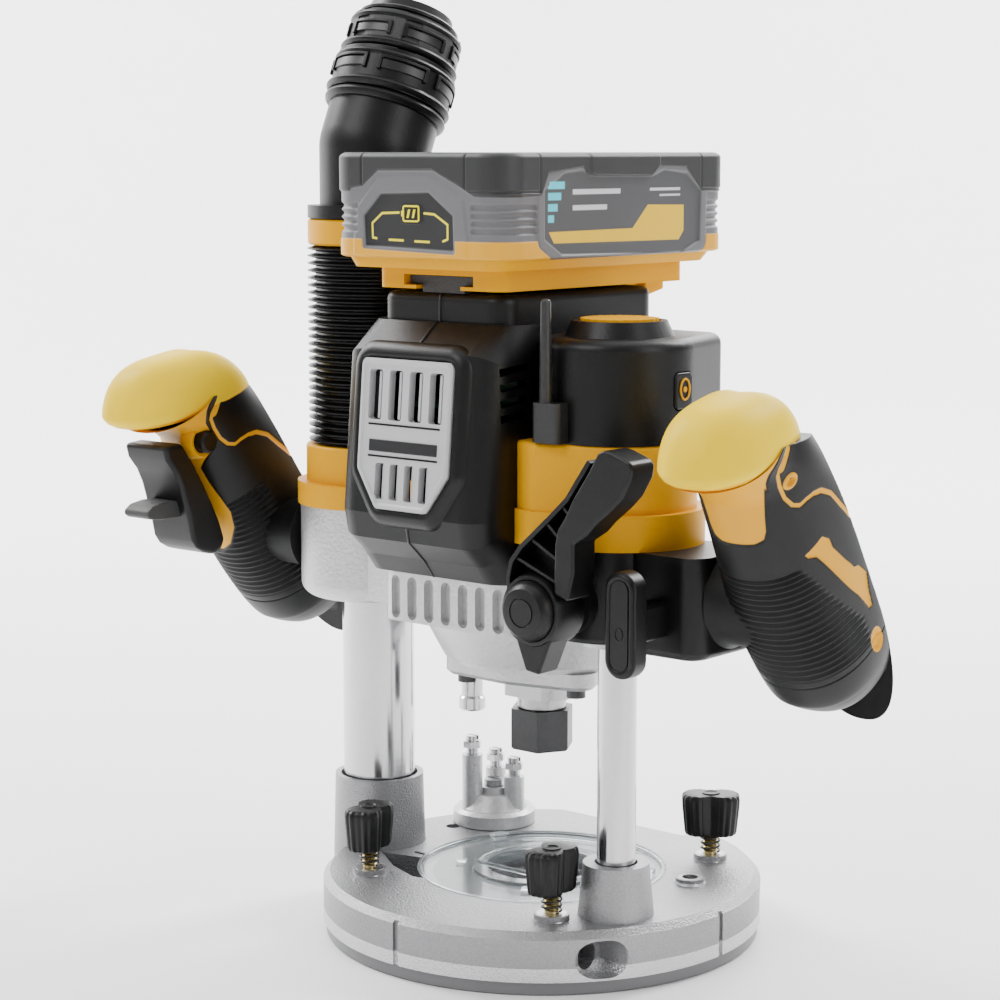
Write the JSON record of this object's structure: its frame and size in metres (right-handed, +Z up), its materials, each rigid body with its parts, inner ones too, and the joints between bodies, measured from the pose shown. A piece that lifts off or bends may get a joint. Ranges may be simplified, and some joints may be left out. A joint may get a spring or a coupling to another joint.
{
  "type": "cordless plunge router",
  "caption": "Cordless plunge router with two angled handles, trigger, battery on top, round base with a clear insert, depth turret and a bellows-covered dust column with an elbow.",
  "frame": {"origin": "on the spindle axis at the underside of the base, where it rests on the work", "axes": "+Z up along the spindle, +X towards the plain handle, -X towards the trigger handle, -Y to the front, +Y to the back, where the battery slides off"},
  "size_m": [0.3052, 0.1782, 0.359],
  "materials": {
    "cast_alloy": "bead-blasted casting",
    "base_alloy": "cast and blasted, machined edge",
    "black_plastic": "fine texture",
    "amber_plastic": "satin",
    "lemon_plastic": "satin",
    "grey_plastic": "satin",
    "charcoal_plastic": "stippled",
    "light_grey_plastic": "satin",
    "sub_base_plastic": "smooth",
    "bright_steel": "polished",
    "dark_steel": "blackened",
    "steel": "turned",
    "brass": "turned",
    "rubber": "moulded ribs",
    "clear_plastic": "clear",
    "winding": "lacquered copper wire in a steel core",
    "board_green": "lacquered board"
  },
  "bodies": {
    "base": {"sub_base": "sub_base_plastic", "base_casting": "base_alloy", "column_collar": "base_alloy", "base_screws": "steel", "insert_window": "clear_plastic", "dust_column": "bright_steel", "guide_column": "bright_steel", "plunge_spring": "steel", "bellows": "rubber", "bellows_ring": "amber_plastic"},
    "turret": {"depth_turret": "cast_alloy"},
    "stop_1": {"stop_screw_1": "bright_steel"},
    "stop_2": {"stop_screw_2": "bright_steel"},
    "stop_3": {"stop_screw_3": "bright_steel"},
    "clamp_1": {"rod_clamp_knob_1": "black_plastic"},
    "clamp_2": {"rod_clamp_knob_2": "black_plastic"},
    "clamp_3": {"rod_clamp_knob_3": "black_plastic"},
    "elbow": {"dust_elbow": "black_plastic"},
    "elbow_ring": {"lock_ring": "charcoal_plastic"},
    "carriage": {"carriage_casting": "cast_alloy", "column_bushes": "brass", "bearing_plate": "cast_alloy", "housing_screws": "dark_steel", "lock_housing": "black_plastic", "body_shell": "amber_plastic", "sleeve_collar": "amber_plastic", "side_housing": "black_plastic", "side_post": "dark_steel", "spring_tower": "steel", "motor_cover_left": "black_plastic", "motor_cover_right": "black_plastic", "grille": "light_grey_plastic", "stator": "winding", "spindle_bearings": "steel", "controller_board": "board_green", "battery_rail": "charcoal_plastic", "right_grip": "black_plastic", "right_neck": "amber_plastic", "right_cap": "lemon_plastic", "left_grip": "black_plastic", "left_neck": "amber_plastic", "left_cap": "lemon_plastic"},
    "spindle": {"spindle": "steel", "rotor": "steel"},
    "nut": {"collet_nut": "dark_steel"},
    "lever": {"plunge_lever": "black_plastic"},
    "spindle_lock": {"spindle_lock_button": "black_plastic"},
    "dial": {"speed_dial": "amber_plastic"},
    "pairing": {"pairing_button": "black_plastic"},
    "rod": {"depth_rod": "bright_steel"},
    "rod_clamp": {"depth_clamp_knob": "black_plastic"},
    "adjuster": {"fine_adjust_knob": "black_plastic"},
    "trigger": {"trigger": "black_plastic"},
    "lock_off": {"lock_off_tab": "charcoal_plastic"},
    "lock_on": {"lock_on_button": "black_plastic"},
    "battery": {"battery_case": "amber_plastic", "battery_cover": "grey_plastic", "battery_cells": "steel"},
    "release": {"battery_release": "charcoal_plastic"},
    "gauge": {"gauge_button": "charcoal_plastic"}
  },
  "joints": [
    {"name": "plunge", "type": "slide", "parent": "base", "child": "carriage", "axis": [0, 0, 1], "range_m": [-0.055, 0], "stiffness_N_per_m": 800, "springref_m": 0.09, "deforming": ["bellows", "plunge_spring"]},
    {"name": "turret_turn", "type": "hinge", "parent": "base", "child": "turret", "pos_m": [-0.056, 0.038, 0.024], "axis": [0, 0, 1], "continuous": true},
    {"name": "stop_1_adjust", "type": "slide", "parent": "turret", "child": "stop_1", "axis": [0, 0, 1], "range_m": [-0.0026, 0]},
    {"name": "stop_2_adjust", "type": "slide", "parent": "turret", "child": "stop_2", "axis": [0, 0, 1], "range_m": [-0.0026, 0]},
    {"name": "stop_3_adjust", "type": "slide", "parent": "turret", "child": "stop_3", "axis": [0, 0, 1], "range_m": [-0.0026, 0]},
    {"name": "clamp_1_turn", "type": "hinge", "parent": "base", "child": "clamp_1", "pos_m": [-0.045, -0.05, 0.04], "axis": [0, 0, 1], "range_deg": [0, 180]},
    {"name": "clamp_2_turn", "type": "hinge", "parent": "base", "child": "clamp_2", "pos_m": [0.045, -0.05, 0.04], "axis": [0, 0, 1], "range_deg": [0, 180]},
    {"name": "clamp_3_turn", "type": "hinge", "parent": "base", "child": "clamp_3", "pos_m": [0.045, 0.05, 0.04], "axis": [0, 0, 1], "range_deg": [0, 180]},
    {"name": "elbow_swivel", "type": "hinge", "parent": "base", "child": "elbow", "pos_m": [-0.0742, -0.0124, 0.275], "axis": [0, 0, 1], "continuous": true},
    {"name": "lock_ring_twist", "type": "hinge", "parent": "elbow", "child": "elbow_ring", "pos_m": [-0.0742, 0.00323, 0.33782], "axis": [0, 0.3907, 0.9205], "range_deg": [0, 45]},
    {"name": "spindle_spin", "type": "hinge", "parent": "carriage", "child": "spindle", "pos_m": [0, 0, 0.1], "axis": [0, 0, 1], "continuous": true},
    {"name": "collet_nut_turn", "type": "hinge", "parent": "spindle", "child": "nut", "pos_m": [0, 0, 0.08], "axis": [0, 0, 1], "range_deg": [-180, 0]},
    {"name": "lever_turn", "type": "hinge", "parent": "carriage", "child": "lever", "pos_m": [0.0586, -0.06, 0.143], "axis": [0, 1, 0], "range_deg": [-25, 0], "stiffness_Nm_per_rad": 0.3, "springref_deg": 11.46},
    {"name": "spindle_lock_press", "type": "slide", "parent": "carriage", "child": "spindle_lock", "axis": [0, 1, 0], "range_m": [0, 0.0035], "stiffness_N_per_m": 500, "springref_m": -0.002},
    {"name": "speed_dial_turn", "type": "hinge", "parent": "carriage", "child": "dial", "pos_m": [0.059, -0.03, 0.238], "axis": [0, 0, 1], "range_deg": [0, 300]},
    {"name": "pairing_press", "type": "slide", "parent": "carriage", "child": "pairing", "axis": [-1, 0, 0], "range_m": [0, 0.001], "stiffness_N_per_m": 500, "springref_m": -0.001},
    {"name": "depth_rod_slide", "type": "slide", "parent": "carriage", "child": "rod", "axis": [0, 0, 1], "range_m": [0, 0.0457]},
    {"name": "depth_clamp_turn", "type": "hinge", "parent": "carriage", "child": "rod_clamp", "pos_m": [-0.06007, 0.04387, 0.156], "axis": [0, 1, 0], "range_deg": [-180, 0]},
    {"name": "fine_adjust_turn", "type": "hinge", "parent": "rod", "child": "adjuster", "pos_m": [-0.06007, 0.02886, 0.212], "axis": [0, 0, 1], "continuous": true},
    {"name": "trigger_pull", "type": "hinge", "parent": "carriage", "child": "trigger", "pos_m": [-0.129, -0.064, 0.152], "axis": [1, 0, 0], "range_deg": [-7, 0], "stiffness_Nm_per_rad": 1, "springref_deg": 5.73},
    {"name": "lock_off_press", "type": "slide", "parent": "trigger", "child": "lock_off", "axis": [0, 1, 0], "range_m": [0, 0.003], "stiffness_N_per_m": 300, "springref_m": -0.001},
    {"name": "lock_on_press", "type": "slide", "parent": "carriage", "child": "lock_on", "axis": [-1, 0, 0], "range_m": [0, 0.002], "stiffness_N_per_m": 500, "springref_m": -0.001},
    {"name": "battery_slide", "type": "slide", "parent": "carriage", "child": "battery", "axis": [0, 1, 0], "range_m": [0, 0.085]},
    {"name": "release_press", "type": "slide", "parent": "battery", "child": "release", "axis": [0, -1, 0], "range_m": [0, 0.003], "stiffness_N_per_m": 500, "springref_m": -0.001},
    {"name": "gauge_press", "type": "slide", "parent": "battery", "child": "gauge", "axis": [0, 1, 0], "range_m": [0, 0.001], "stiffness_N_per_m": 500, "springref_m": -0.001}
  ],
  "couplings": [
    {"joint": "depth_rod_slide", "follows": "plunge", "ratio": -0.83}
  ]
}
